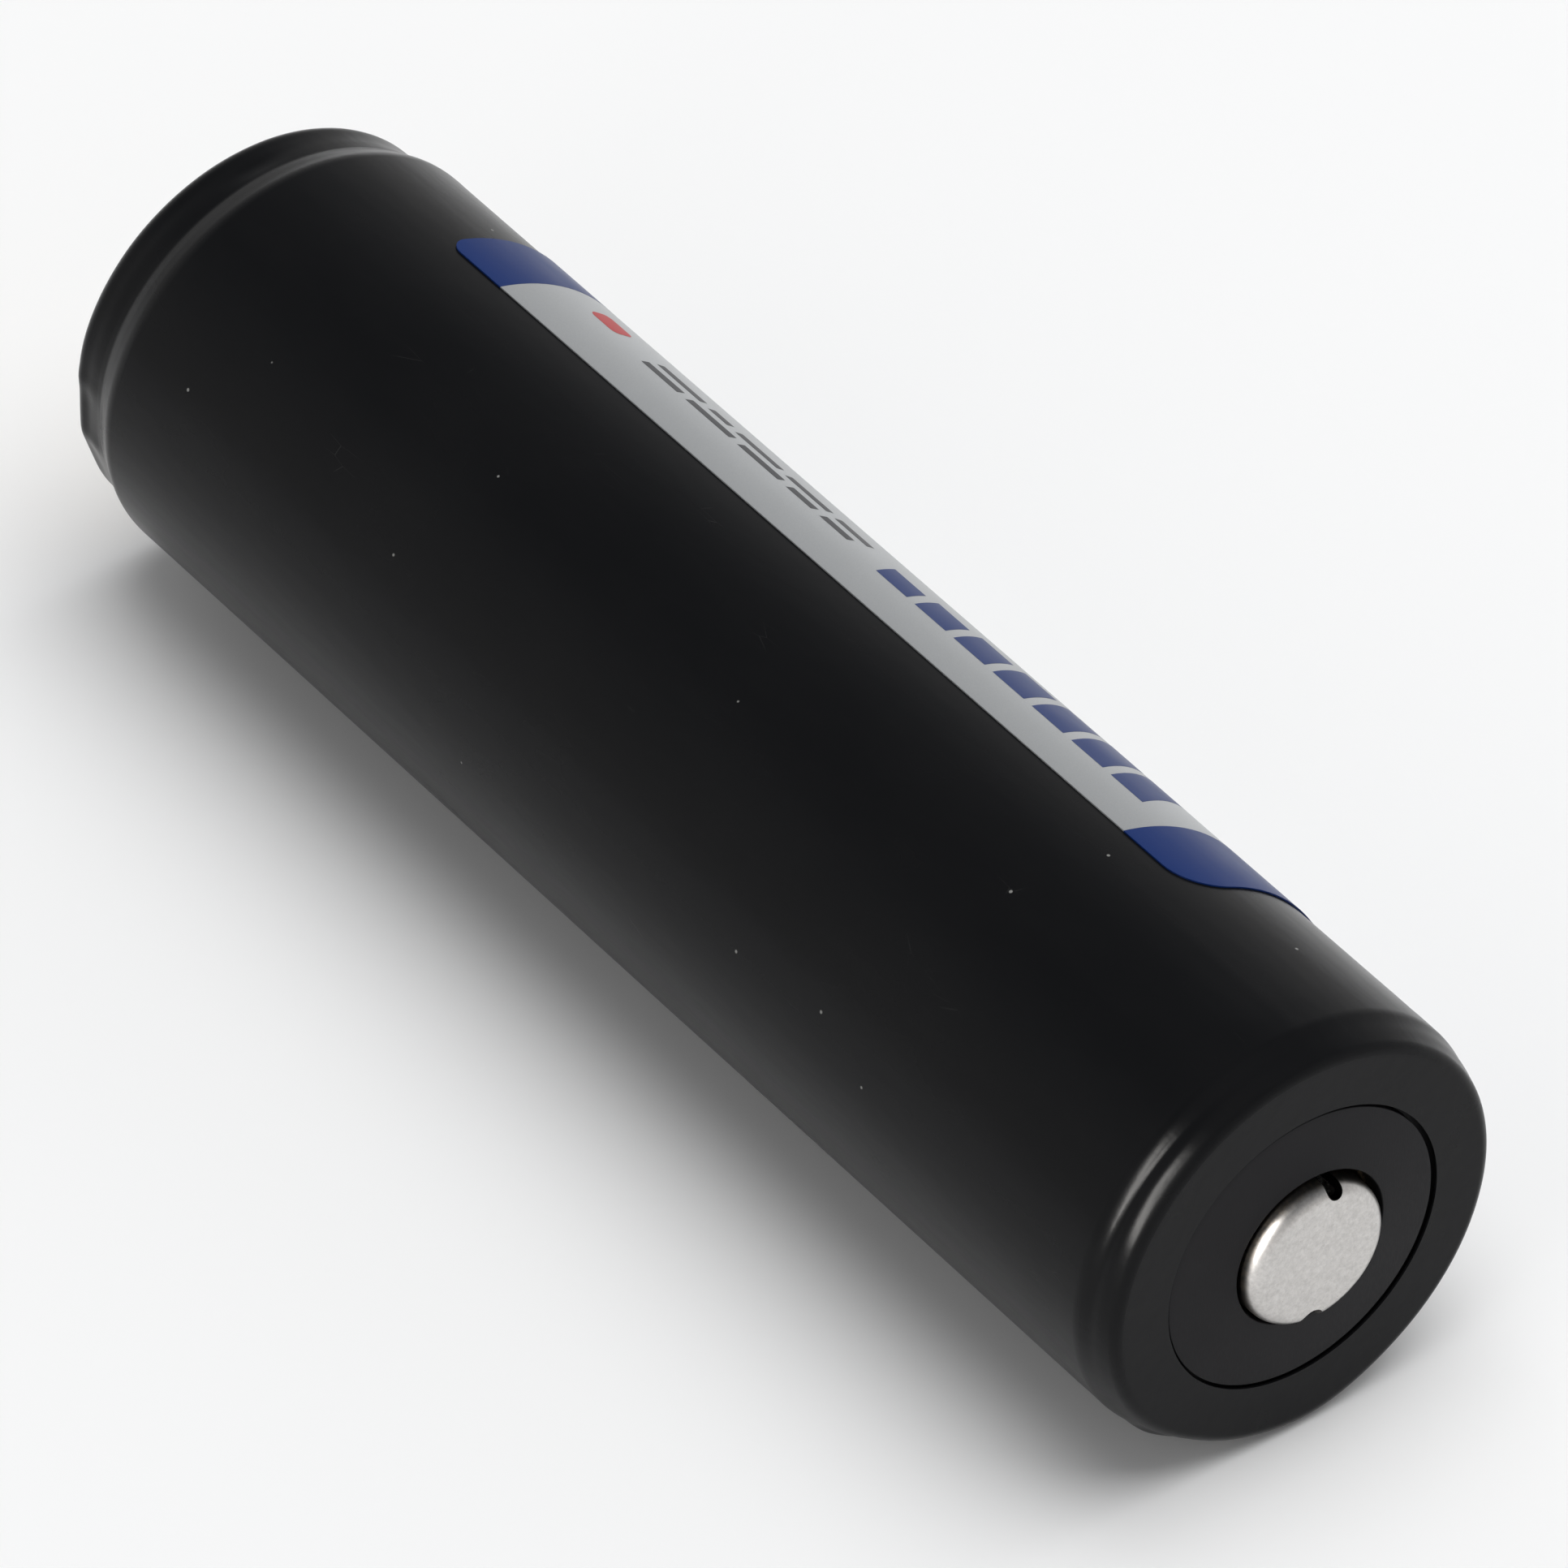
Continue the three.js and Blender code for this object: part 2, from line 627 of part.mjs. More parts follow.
function positiveButton() {
  const wall = 0.3;
  const edge = 0.5;
  const cup = turned([
    [BUTTON_TOP_X - wall, 0],
    [BUTTON_TOP_X - wall, BUTTON_RADIUS - edge],
    [BUTTON_TOP_X - edge, BUTTON_RADIUS - wall],
    [FLANGE_UNDER_X, BUTTON_RADIUS - wall],
    [FLANGE_UNDER_X, FLANGE_RADIUS],
    [FLANGE_TOP_X, FLANGE_RADIUS],
    [FLANGE_TOP_X, BUTTON_RADIUS],
    ...arc(BUTTON_TOP_X - edge, BUTTON_RADIUS - edge, edge, 90, 0, 4),
    [BUTTON_TOP_X, 0],
  ]);
  return cutBy(cup, buttonCutter(BUTTON_SLOT), buttonCutter(BUTTON_NOTCH));
}

// The washer lies between the side strip and the end lip, and rises a little to its hole.
function insulatorWasher() {
  const underX = 67.05;
  const recessX = FLANGE_TOP_X + 0.03;
  const recessRadius = FLANGE_RADIUS + 0.1;
  const rimTopX = SLEEVE_POSITIVE_X - SLEEVE_WALL - 0.04;
  const rimRadius = 8.3;
  const riseRadius = 6.2;
  const holeTopX = 68.04;
  return turned([
    [recessX, WASHER_HOLE_RADIUS],
    [recessX, recessRadius],
    [underX, recessRadius],
    [underX, rimRadius],
    [rimTopX, rimRadius],
    [rimTopX, riseRadius],
    [holeTopX, WASHER_HOLE_RADIUS],
    [recessX, WASHER_HOLE_RADIUS],
  ]);
}

addPiece('insulator_washer', insulatorWasher(), 'fibre');
addPiece('positive_button', positiveButton(), 'nickel');

export default cell;
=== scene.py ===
"""The looks of a protected 18650-size lithium cell lying on its side, built round its CAD frame.

Shapes are worked out in millimetres and turned into metres when a mesh is made. The cell's axis is
X, from the negative contact to the positive button, and an angle round it goes from +Z towards +Y.
"""

import json
import math

import bmesh
import bpy
import numpy as np
from mathutils import Matrix, Vector, noise


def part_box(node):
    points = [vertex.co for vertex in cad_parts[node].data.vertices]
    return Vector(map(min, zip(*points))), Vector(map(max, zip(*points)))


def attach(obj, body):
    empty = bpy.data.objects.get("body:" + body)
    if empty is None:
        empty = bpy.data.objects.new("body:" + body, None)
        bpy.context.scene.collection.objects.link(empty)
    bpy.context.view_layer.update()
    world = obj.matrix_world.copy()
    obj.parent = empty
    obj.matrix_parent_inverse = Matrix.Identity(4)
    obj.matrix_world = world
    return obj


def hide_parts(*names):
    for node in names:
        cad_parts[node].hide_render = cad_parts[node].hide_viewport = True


MM = 0.001

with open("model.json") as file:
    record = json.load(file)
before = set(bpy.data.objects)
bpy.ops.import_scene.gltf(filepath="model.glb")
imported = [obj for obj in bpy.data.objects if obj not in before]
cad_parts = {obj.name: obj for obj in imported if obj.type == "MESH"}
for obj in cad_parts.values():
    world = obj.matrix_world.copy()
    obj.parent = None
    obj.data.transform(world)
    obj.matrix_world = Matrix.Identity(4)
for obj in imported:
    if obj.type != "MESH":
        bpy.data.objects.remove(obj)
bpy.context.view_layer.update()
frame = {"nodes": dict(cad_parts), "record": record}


# ------------------------------------------------------------------ sizes taken from the frame


def box_mm(node):
    """A CAD node's lowest and highest corners, in millimetres."""
    low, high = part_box(node)
    return low / MM, high / MM


SLEEVE_LOW, SLEEVE_HIGH = box_mm("shrink_sleeve")
LABEL_LOW, LABEL_HIGH = box_mm("label")
WASHER_LOW, WASHER_HIGH = box_mm("insulator_washer")
BUTTON_LOW, BUTTON_HIGH = box_mm("positive_button")
CONTACT_LOW, CONTACT_HIGH = box_mm("negative_contact")
STRIP_LOW, STRIP_HIGH = box_mm("positive_strip")

NEGATIVE_X = SLEEVE_LOW.x
POSITIVE_X = SLEEVE_HIGH.x
CELL_RADIUS = SLEEVE_HIGH.z
STRIP_ANGLE = math.atan2(
    (STRIP_LOW.y + STRIP_HIGH.y) / 2, (STRIP_LOW.z + STRIP_HIGH.z) / 2
) % (2 * math.pi)

# ------------------------------------------------------------------ driving sizes of the looks

SURFACE_RADIUS = CELL_RADIUS - 0.015   # the sleeve's ripples stay inside the CAD radius
RADIUS_LIMIT = CELL_RADIUS - 0.002
FILM = 0.1
NEGATIVE_LIP_RADIUS = 6.6
POSITIVE_LIP_RADIUS = 6.3
RIPPLE_HEIGHT = 0.008    # slow unevenness over the whole sleeve
GATHER_HEIGHT = 0.028    # fine folds near its ends
SLEEVE_SEGMENTS = 236

STICKER_FACE = CELL_RADIUS + 0.055
STICKER_BACK = CELL_RADIUS + 0.002
STICKER_CORNER_NEGATIVE = 0.8
STICKER_CORNER_POSITIVE = 1.9
STICKER_START_ANGLE = math.radians(15.8)
STICKER_END_ANGLE = math.radians(165.0)
BAND_WIDTH_NEGATIVE = 3.45
BAND_WIDTH_POSITIVE = 4.25
BAND_OVERLAP = 0.012     # the bands reach past the sticker's edge and cover its silver
INK = 0.006

BUTTON_RADIUS = 3.16
BUTTON_EDGE = 0.68
BUTTON_ASIDE = (0.17, -0.07)   # how far the button sits off the axis, along Y and Z
BUTTON_WALL = 0.3
BUTTON_FLANGE_RADIUS = 4.1
BUTTON_FLANGE_THICKNESS = 0.2
BUTTON_CROWN = 0.012           # how much lower the middle of the top is than its edge
BUTTON_SLOT = {"degrees": 14, "width": 0.7, "depth": 0.46, "length": 1.4}
BUTTON_NOTCH = {"degrees": 186, "width": 1.05, "depth": 0.7, "length": 0.6}
WASHER_HOLE_RADIUS = 3.42
WASHER_HOLE_X = WASHER_HIGH.x
WASHER_HOLE_ASIDE = (0.18, 0.06)   # how far the hole lies off the axis, along Y and Z
WASHER_RIM_RADIUS = 6.16
WASHER_RIM_X = POSITIVE_X - 0.04
WASHER_RIM_ASIDE = (-0.10, 0.06)
WASHER_LEDGE_RADIUS = 7.9      # the part that lies under the sleeve's lip
WASHER_LEDGE_X = POSITIVE_X - 0.5

CAMERA_AZIMUTH = math.radians(53.45)
CAMERA_ELEVATION = math.radians(41.18)
CAMERA_DISTANCE = 611.4
CAMERA_LENS = 366.6
CAMERA_AIM = Vector((34.97, 0.45, -0.56))


# ------------------------------------------------------------------ outlines


def rounded(corners, steps=7):
    """A path through corners given as (x, radius, fillet), each corner rounded by its fillet."""
    points = []
    for i, (x, r, fillet) in enumerate(corners):
        here = Vector((x, r))
        if fillet == 0 or i in (0, len(corners) - 1):
            points.append(here)
            continue
        back = (Vector(corners[i - 1][:2]) - here).normalized()
        ahead = (Vector(corners[i + 1][:2]) - here).normalized()
        half = back.angle(ahead) / 2
        centre = here + (back + ahead).normalized() * (fillet / math.sin(half))
        start = here + back * (fillet / math.tan(half)) - centre
        end = here + ahead * (fillet / math.tan(half)) - centre
        for k in range(steps + 1):
            spoke = start.lerp(end, k / steps).normalized() * fillet
            points.append(centre + spoke)
    return np.array([tuple(p) for p in points])


def divided(path, spacing):
    """The same path with its long stretches cut into steps no longer than spacing(x)."""
    points = [path[0]]
    for start, end in zip(path[:-1], path[1:]):
        length = np.linalg.norm(end - start)
        middle = (start[0] + end[0]) / 2
        count = max(1, math.ceil(length / spacing(middle)))
        points += [start + (end - start) * k / count for k in range(1, count + 1)]
    return np.array(points)


def offset(path, distance):
    """The path moved sideways, outward when it runs towards +X."""
    along = np.gradient(path, axis=0)
    along /= np.linalg.norm(along, axis=1, keepdims=True)
    return path + distance * np.column_stack([-along[:, 1], along[:, 0]])


def smoothstep(low, high, value):
    """0 below low, 1 above high, and an even rise between."""
    t = np.clip((value - low) / (high - low), 0.0, 1.0)
    return t * t * (3 - 2 * t)


def angle_from(angle, centre):
    """The signed angle from centre, between -pi and pi."""
    return (angle - centre + math.pi) % (2 * math.pi) - math.pi


# ------------------------------------------------------------------ meshes


def smoothed(mesh, sharp_angle):
    """Smooth shading, broken where two faces meet at more than an angle in degrees."""
    mesh.shade_smooth()
    mesh.set_sharp_from_angle(angle=math.radians(sharp_angle))


def make_piece(name, points_mm, faces):
    """A piece that rides on the cell, made from points in millimetres."""
    mesh = bpy.data.meshes.new(name)
    mesh.from_pydata([tuple(p) for p in np.asarray(points_mm) * MM], [], faces)
    mesh.validate()
    tidy = bmesh.new()
    tidy.from_mesh(mesh)
    bmesh.ops.recalc_face_normals(tidy, faces=tidy.faces)
    tidy.to_mesh(mesh)
    tidy.free()
    smoothed(mesh, 35)
    piece = bpy.data.objects.new(name, mesh)
    bpy.context.scene.collection.objects.link(piece)
    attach(piece, "cell")
    return piece


def on_axis(x, r, angle):
    """Points at a distance x along the axis, a radius r from it and an angle round it."""
    return np.stack([x, r * np.sin(angle), r * np.cos(angle)], axis=-1)


def revolve(name, outline, segments, shape=None):
    """A closed piece turned about X, from an outline that closes on itself or ends on the axis."""
    capped = outline[0][1] < 1e-6
    rows = np.asarray(outline[1:-1] if capped else outline, float)
    angle = np.arange(segments) * 2 * math.pi / segments
    x, turn = np.meshgrid(rows[:, 0], angle, indexing="ij")
    r = np.repeat(rows[:, 1:2], segments, axis=1)
    if shape:
        x, r = shape(x, r, turn)
    points = on_axis(x, r, turn).reshape(-1, 3)
    count = len(rows)
    faces = []
    for i in range(count - 1 if capped else count):
        a, b = i * segments, ((i + 1) % count) * segments
        for j in range(segments):
            k = (j + 1) % segments
            faces.append((a + j, a + k, b + k, b + j))
    if capped:
        poles = [(outline[0][0], 0, 0), (outline[-1][0], 0, 0)]
        first, last = len(points), len(points) + 1
        points = np.vstack([points, poles])
        top = (count - 1) * segments
        for j in range(segments):
            k = (j + 1) % segments
            faces.append((first, j, k))
            faces.append((last, top + k, top + j))
    return make_piece(name, points, faces)


def shell(x, angle, face_radius, back_radius):
    """Points and faces of a thin closed sheet over a grid of x and angle, bent round the axis."""
    rows, columns = x.shape
    front = on_axis(x, np.broadcast_to(face_radius, x.shape), angle).reshape(-1, 3)
    back = on_axis(x, np.broadcast_to(back_radius, x.shape), angle).reshape(-1, 3)
    size = rows * columns
    faces = []
    for i in range(rows - 1):
        for j in range(columns - 1):
            a = i * columns + j
            quad = (a, a + 1, a + columns + 1, a + columns)
            faces.append(quad)
            faces.append(tuple(size + v for v in reversed(quad)))
    rim = list(range(columns))
    rim += [i * columns + columns - 1 for i in range(1, rows)]
    rim += [(rows - 1) * columns + j for j in range(columns - 2, -1, -1)]
    rim += [i * columns for i in range(rows - 2, 0, -1)]
    for a, b in zip(rim, rim[1:] + rim[:1]):
        faces.append((b, a, size + a, size + b))
    return np.vstack([front, back]), faces


def merged(parts):
    """Several (points, faces) pairs as one pair."""
    points, faces, start = [], [], 0
    for part_points, part_faces in parts:
        points.append(part_points)
        faces += [tuple(v + start for v in face) for face in part_faces]
        start += len(part_points)
    return np.vstack(points), faces


# ------------------------------------------------------------------ node materials


class Finish:
    """A node material whose patterns are laid out in the object's own space."""

    def __init__(self, name, **constants):
        self.material = bpy.data.materials.new(name)
        self.material.use_nodes = True
        self.nodes = self.material.node_tree.nodes
        self.links = self.material.node_tree.links
        self.shader = self.nodes["Principled BSDF"]
        for socket, value in constants.items():
            self.shader.inputs[socket.replace("_", " ")].default_value = value
        self.place = self.nodes.new("ShaderNodeTexCoord").outputs["Object"]

    def stretched(self, scale):
        """The object's own coordinates, in millimetres, stretched along each axis."""
        node = self.nodes.new("ShaderNodeMapping")
        node.inputs["Scale"].default_value = Vector(scale) / MM
        self.links.new(self.place, node.inputs["Vector"])
        return node.outputs["Vector"]

    def noise(self, scale, detail=3.0, roughness=0.5):
        """Noise from 0 to 1, with scale in features to the millimetre along X, Y and Z."""
        node = self.nodes.new("ShaderNodeTexNoise")
        node.inputs["Scale"].default_value = 1.0
        node.inputs["Detail"].default_value = detail
        node.inputs["Roughness"].default_value = roughness
        self.links.new(self.stretched(scale), node.inputs["Vector"])
        return node.outputs["Fac"]

    def cells(self, scale, feature="F1"):
        """The distance to the nearest of many scattered points, or to the edge between them."""
        node = self.nodes.new("ShaderNodeTexVoronoi")
        node.feature = feature
        node.inputs["Scale"].default_value = 1.0
        self.links.new(self.stretched(scale), node.inputs["Vector"])
        return node.outputs["Distance"]

    def from_axis(self, centre=(0, 0)):
        """The distance in millimetres from a line along X, whose place is given along Y and Z."""
        node = self.nodes.new("ShaderNodeVectorMath")
        node.operation = "DISTANCE"
        node.inputs[1].default_value = (0, *centre)
        self.links.new(self.stretched((0, 1, 1)), node.inputs[0])
        return node.outputs["Value"]

    def spread(self, value, low, high, to_low=0.0, to_high=1.0):
        """Value taken from the range low..high to to_low..to_high, held at both ends."""
        node = self.nodes.new("ShaderNodeMapRange")
        node.inputs["From Min"].default_value = low
        node.inputs["From Max"].default_value = high
        node.inputs["To Min"].default_value = to_low
        node.inputs["To Max"].default_value = to_high
        self.links.new(value, node.inputs["Value"])
        return node.outputs["Result"]

    def math(self, operation, first, second):
        """Two values, or a value and a number, put through a sum."""
        node = self.nodes.new("ShaderNodeMath")
        node.operation = operation
        for socket, value in zip(node.inputs, (first, second)):
            if isinstance(value, (int, float)):
                socket.default_value = value
            else:
                self.links.new(value, socket)
        return node.outputs["Value"]

    def mix(self, factor, first, second):
        """Two colours mixed; each is a colour or another mix."""
        node = self.nodes.new("ShaderNodeMix")
        node.data_type = "RGBA"
        self.links.new(factor, node.inputs["Factor"])
        for socket, value in ((node.inputs[6], first), (node.inputs[7], second)):
            if isinstance(value, tuple):
                socket.default_value = (*value, 1.0)
            else:
                self.links.new(value, socket)
        return node.outputs[2]

    def colour(self, value):
        self.links.new(value, self.shader.inputs["Base Color"])

    def rough(self, value):
        self.links.new(value, self.shader.inputs["Roughness"])

    def bump(self, *layers):
        """Layers of (height from 0 to 1, how high it stands in millimetres)."""
        normal = None
        for height, depth in layers:
            node = self.nodes.new("ShaderNodeBump")
            node.inputs["Strength"].default_value = 1.0
            node.inputs["Distance"].default_value = depth * MM
            self.links.new(height, node.inputs["Height"])
            if normal:
                self.links.new(normal, node.inputs["Normal"])
            normal = node.outputs["Normal"]
        self.links.new(normal, self.shader.inputs["Normal"])


def dust_and_scratches(finish):
    """Sparse pale specks and a few short fine scratches, from 0 to 1."""
    specks = finish.spread(finish.cells((0.36, 0.36, 0.36)), 0.020, 0.030, 1.0, 0.0)
    line = finish.cells((0.35, 1.6, 0.8), "DISTANCE_TO_EDGE")
    line = finish.spread(line, 0.0, 0.01, 1.0, 0.0)
    patch = finish.spread(finish.noise((0.22, 0.4, 0.4), 2.0), 0.68, 0.74)
    scratches = finish.math("MULTIPLY", line, patch)
    return finish.math("MAXIMUM", specks, finish.math("MULTIPLY", scratches, 0.07))


def sleeve_finish():
    finish = Finish("sleeve_film", IOR=1.2)
    cloud = finish.noise((0.09, 0.22, 0.22), 4.0, 0.6)
    grain = finish.noise((9, 9, 9), 2.0)
    marks = dust_and_scratches(finish)
    base = finish.mix(cloud, (0.0050, 0.0053, 0.0061), (0.0074, 0.0074, 0.0080))
    finish.colour(finish.mix(marks, base, (0.22, 0.22, 0.21)))
    finish.rough(finish.spread(cloud, 0.3, 0.7, 0.22, 0.29))
    ripple = finish.noise((0.35, 1.1, 1.1), 2.0)
    finish.bump((ripple, 0.012), (grain, 0.0012))
    return finish.material


def washer_finish():
    finish = Finish("washer_fibre", IOR=1.2)
    fibre = finish.noise((2, 14, 3), 4.0, 0.7)
    cloud = finish.noise((0.3, 0.5, 0.5), 3.0)
    base = finish.mix(cloud, (0.0096, 0.0094, 0.0106), (0.0124, 0.0120, 0.0134))
    finish.colour(finish.mix(finish.spread(fibre, 0.55, 0.8), base, (0.015, 0.015, 0.016)))
    finish.rough(finish.spread(fibre, 0.3, 0.7, 0.42, 0.55))
    finish.bump((fibre, 0.004))
    return finish.material


def slot_shade_mask(finish):
    """A mask for the painted shade in the button's slot, from its round bottom out past the wall.
    """
    angle = math.radians(BUTTON_SLOT["degrees"])
    half = BUTTON_SLOT["width"] / 2
    reach = half + 0.05
    mask = None
    for radius in (BUTTON_RADIUS - BUTTON_SLOT["depth"] + half, BUTTON_RADIUS + 0.1):
        middle = (
            BUTTON_ASIDE[0] + radius * math.sin(angle),
            BUTTON_ASIDE[1] + radius * math.cos(angle),
        )
        disc = finish.spread(finish.from_axis(middle), reach - 0.02, reach, 1.0, 0.0)
        mask = finish.math("MAXIMUM", mask, disc) if mask else disc
    return mask


def nickel_finish():
    finish = Finish("nickel", Metallic=1.0)
    cloud = finish.noise((0.8, 0.8, 0.8), 4.0, 0.6)
    drawn = finish.noise((0.6, 9, 9), 2.0)
    pits = finish.spread(finish.cells((3.2, 3.2, 3.2)), 0.03, 0.08, 1.0, 0.0)
    grain = finish.noise((5, 5, 5), 4.0, 0.7)
    base = finish.mix(finish.spread(grain, 0.3, 0.7), (0.49, 0.475, 0.46), (0.65, 0.633, 0.615))
    bright = finish.mix(pits, base, (0.36, 0.34, 0.31))
    # Painted shade: the flange in the gap round the button and the foot of its wall are painted
    # near black with brown mottling. This is partly brown tarnish, and partly painted shade of the
    # gap with a painted dark reflection of the hole on the wall.
    gap_mottle = finish.spread(finish.noise((2.4, 2.4, 2.4), 4.0, 0.7), 0.42, 0.62)
    painted_gap_shade = finish.mix(gap_mottle, (0.010, 0.009, 0.008), (0.16, 0.12, 0.075))
    gap_shade_mask = finish.spread(
        finish.from_axis(BUTTON_ASIDE), BUTTON_RADIUS - 0.08, BUTTON_RADIUS + 0.06
    )
    with_gap_shade = finish.mix(gap_shade_mask, bright, painted_gap_shade)
    # Painted shade: the slot and what shows through it are painted near black.
    finish.colour(finish.mix(slot_shade_mask(finish), with_gap_shade, (0.004, 0.004, 0.004)))
    finish.rough(finish.spread(cloud, 0.3, 0.7, 0.28, 0.38))
    finish.bump((drawn, 0.0015), (pits, 0.0015))
    return finish.material


def contact_finish():
    finish = Finish("contact_gold", Metallic=1.0)
    cloud = finish.noise((0.5, 0.5, 0.5), 4.0, 0.6)
    scuff = finish.noise((1, 1.2, 16), 3.0, 0.7)
    base = finish.mix(cloud, (0.66, 0.44, 0.15), (0.80, 0.57, 0.24))
    finish.colour(finish.mix(finish.spread(scuff, 0.6, 0.75), base, (0.86, 0.70, 0.42)))
    finish.rough(finish.spread(scuff, 0.35, 0.7, 0.2, 0.38))
    finish.bump((scuff, 0.002))
    return finish.material


def sticker_finish():
    finish = Finish("label_film", Metallic=0.6, IOR=1.45)
    cloud = finish.noise((0.08, 0.25, 0.25), 3.0)
    flake = finish.noise((22, 22, 22), 2.0, 0.7)
    base = finish.mix(cloud, (0.365, 0.380, 0.392), (0.405, 0.418, 0.428))
    finish.colour(finish.mix(finish.spread(flake, 0.3, 0.7), base, (0.44, 0.453, 0.463)))
    finish.rough(finish.spread(cloud, 0.3, 0.7, 0.34, 0.42))
    finish.bump((finish.noise((0.3, 0.9, 0.9), 2.0), 0.006), (flake, 0.0004))
    return finish.material


def ink_finish(name, dark, light):
    finish = Finish(name, IOR=1.17)
    cloud = finish.noise((0.2, 0.4, 0.4), 3.0)
    halftone = finish.spread(finish.cells((7, 7, 7)), 0.1, 0.5)
    base = finish.mix(cloud, dark, light)
    finish.colour(finish.mix(finish.math("MULTIPLY", halftone, 0.25), base, dark))
    finish.rough(finish.spread(cloud, 0.3, 0.7, 0.3, 0.38))
    finish.bump((finish.noise((0.3, 0.9, 0.9), 2.0), 0.006))
    return finish.material


def metal_finish(name, dark, light, grain):
    """Drawn, rolled or pressed metal with its grain stretched along an axis."""
    finish = Finish(name, Metallic=1.0)
    lines = finish.noise(grain, 3.0, 0.6)
    cloud = finish.noise((0.3, 0.3, 0.3), 3.0)
    finish.colour(finish.mix(cloud, dark, light))
    finish.rough(finish.spread(lines, 0.3, 0.7, 0.22, 0.38))
    finish.bump((lines, 0.002))
    return finish.material


def moulded_finish(name, dark, light, roughness=0.5):
    """Plastic, film, coating or laminate with a fine surface grain."""
    finish = Finish(name)
    grain = finish.noise((5, 5, 5), 4.0, 0.6)
    cloud = finish.noise((0.4, 0.4, 0.4), 3.0)
    base = finish.mix(cloud, dark, light)
    finish.colour(finish.mix(finish.spread(grain, 0.4, 0.8), base, light))
    finish.rough(finish.spread(grain, 0.3, 0.7, roughness - 0.07, roughness + 0.07))
    finish.bump((grain, 0.003))
    return finish.material


def board_finish():
    finish = Finish("board_laminate")
    weave = finish.cells((2.5, 2.5, 2.5), "DISTANCE_TO_EDGE")
    cloud = finish.noise((0.4, 0.4, 0.4), 3.0)
    base = finish.mix(cloud, (0.010, 0.075, 0.030), (0.016, 0.110, 0.045))
    finish.colour(finish.mix(finish.spread(weave, 0.0, 0.08, 1.0, 0.0), base, (0.03, 0.17, 0.07)))
    finish.rough(finish.spread(cloud, 0.3, 0.7, 0.28, 0.4))
    finish.bump((weave, 0.004))
    return finish.material


# Every material slot of the record, with its dark and light linear colours.
FINISHES = {
    "sleeve_film": sleeve_finish(),
    "label_film": sticker_finish(),
    "label_blue": ink_finish("label_blue", (0.0055, 0.023, 0.118), (0.008, 0.030, 0.142)),
    "label_grey_ink": ink_finish("label_grey_ink", (0.035, 0.035, 0.04), (0.06, 0.06, 0.065)),
    "label_red_ink": ink_finish("label_red_ink", (0.36, 0.030, 0.035), (0.46, 0.050, 0.050)),
    "washer_fibre": washer_finish(),
    "nickel": nickel_finish(),
    "contact_gold": contact_finish(),
    "can_steel": metal_finish("can_steel", (0.42, 0.42, 0.43), (0.55, 0.55, 0.56), (0.3, 6, 6)),
    "aluminium": metal_finish("aluminium", (0.60, 0.61, 0.62), (0.72, 0.73, 0.74), (6, 0.6, 6)),
    "inner_film": moulded_finish("inner_film", (0.03, 0.05, 0.11), (0.05, 0.08, 0.16), 0.35),
    "amber_tape": moulded_finish("amber_tape", (0.36, 0.15, 0.02), (0.50, 0.23, 0.04), 0.3),
    "gasket_plastic": moulded_finish("gasket_plastic", (0.58, 0.58, 0.54), (0.70, 0.70, 0.66)),
    "ptc_polymer": moulded_finish("ptc_polymer", (0.05, 0.04, 0.03), (0.09, 0.07, 0.06), 0.6),
    "white_film": moulded_finish("white_film", (0.70, 0.70, 0.68), (0.82, 0.82, 0.80), 0.6),
    "cathode_coat": moulded_finish("cathode_coat", (0.01, 0.01, 0.012), (0.02, 0.02, 0.022), 0.85),
    "anode_coat": moulded_finish("anode_coat", (0.022, 0.020, 0.019), (0.038, 0.035, 0.033), 0.8),
    "board_laminate": board_finish(),
    "chip_plastic": moulded_finish(
        "chip_plastic", (0.012, 0.012, 0.013), (0.022, 0.022, 0.023), 0.55
    ),
    "capacitor_ceramic": moulded_finish(
        "capacitor_ceramic", (0.26, 0.19, 0.11), (0.36, 0.27, 0.16)
    ),
}


def dress(piece, slot):
    """Gives a piece the material of a record slot."""
    piece.data.materials.clear()
    piece.data.materials.append(FINISHES[slot])


def dress_cad_nodes():
    """Every CAD node that stays gets its record slot's node material."""
    for part in frame["record"]["subparts"]:
        node = frame["nodes"][part["node"]]
        for slot in node.material_slots:
            slot.material = FINISHES[part["material_slot"]]


# ------------------------------------------------------------------ the shrink sleeve

# The sleeve's outer surface as (x, radius, fillet): the lip round the contact, the ring over the
# board, the dip between the board and the can, the can, its shoulder, and the lip over the washer.
SLEEVE_CORNERS = [
    (NEGATIVE_X, NEGATIVE_LIP_RADIUS, 0),
    (NEGATIVE_X, 8.74, 0.8),
    (NEGATIVE_X + 1.9, 8.79, 0.8),
    (NEGATIVE_X + 2.25, 8.81, 0.6),
    (NEGATIVE_X + 2.75, 9.02, 1.2),
    (NEGATIVE_X + 3.4, SURFACE_RADIUS, 1.6),
    (POSITIVE_X - 1.75, SURFACE_RADIUS, 1.5),
    (POSITIVE_X, 8.80, 0.5),
    (POSITIVE_X, POSITIVE_LIP_RADIUS, 0),
]

